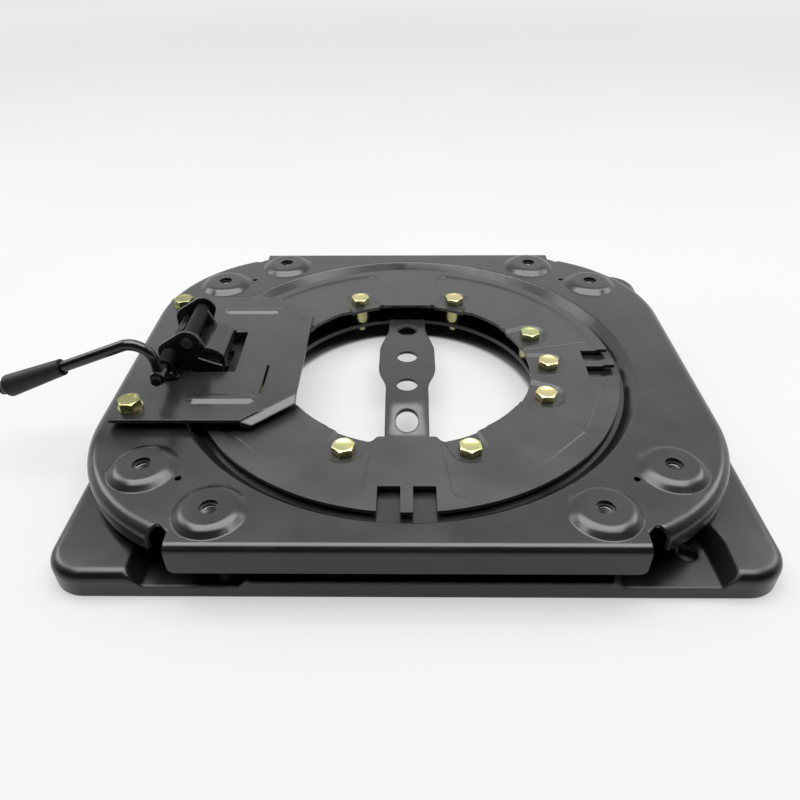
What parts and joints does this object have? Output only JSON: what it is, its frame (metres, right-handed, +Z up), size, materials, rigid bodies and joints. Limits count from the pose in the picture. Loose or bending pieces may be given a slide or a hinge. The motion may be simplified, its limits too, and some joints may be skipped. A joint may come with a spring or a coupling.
{
  "type": "swivel seat base",
  "caption": "Pressed steel swivel base for a vehicle seat: a turntable plate with seat bosses turns on a skirted base plate and latches with a hand lever.",
  "frame": {"origin": "on the swivel axis, on the plane that the base plate stands on", "axes": "+Z up along the swivel axis, -Y to the front, the latch and its lever on the -X side"},
  "size_m": [0.4718, 0.352, 0.0861],
  "materials": {
    "black_coat": "satin black coat on pressed steel",
    "yellow_zinc": "yellow zinc plating",
    "dark_steel": "dark oiled steel",
    "glide_plastic": "black glide plastic",
    "grip_plastic": "matte black moulding"
  },
  "bodies": {
    "base": {"base_plate": "black_coat", "threaded_bushes": "yellow_zinc", "ring_bolts": "yellow_zinc", "retaining_ring": "black_coat", "lower_glide_ring": "glide_plastic", "upper_glide_ring": "glide_plastic", "stop_pins": "dark_steel", "centre_strap": "black_coat", "strap_rivets": "dark_steel"},
    "turntable": {"turntable_plate": "black_coat", "seat_nuts": "dark_steel", "stop_lug": "black_coat", "latch_plate": "black_coat", "latch_spacers": "black_coat", "latch_bolts": "yellow_zinc", "latch_washers": "yellow_zinc", "latch_nuts": "dark_steel", "latch_bracket": "black_coat", "bracket_rivets": "dark_steel", "pivot_pin": "dark_steel", "return_spring": "dark_steel"},
    "lever": {"lever_shaft": "black_coat", "shaft_clip": "dark_steel", "lever_rod": "black_coat", "lever_grip": "grip_plastic"},
    "pawl": {"pawl": "black_coat"}
  },
  "joints": [
    {"name": "swivel", "type": "hinge", "parent": "base", "child": "turntable", "pos_m": [0, 0, 0.031], "axis": [0, 0, 1], "range_deg": [0, 180]},
    {"name": "lever_turn", "type": "hinge", "parent": "turntable", "child": "lever", "pos_m": [-0.1585, 0, 0.0595], "axis": [0, 1, 0], "range_deg": [-12, 15], "stiffness_Nm_per_rad": 2},
    {"name": "pawl_turn", "type": "hinge", "parent": "turntable", "child": "pawl", "pos_m": [-0.146, 0, 0.0673], "axis": [0, -1, 0], "range_deg": [-12, 15]}
  ],
  "couplings": [
    {"joint": "pawl_turn", "follows": "lever_turn", "ratio": 1}
  ]
}
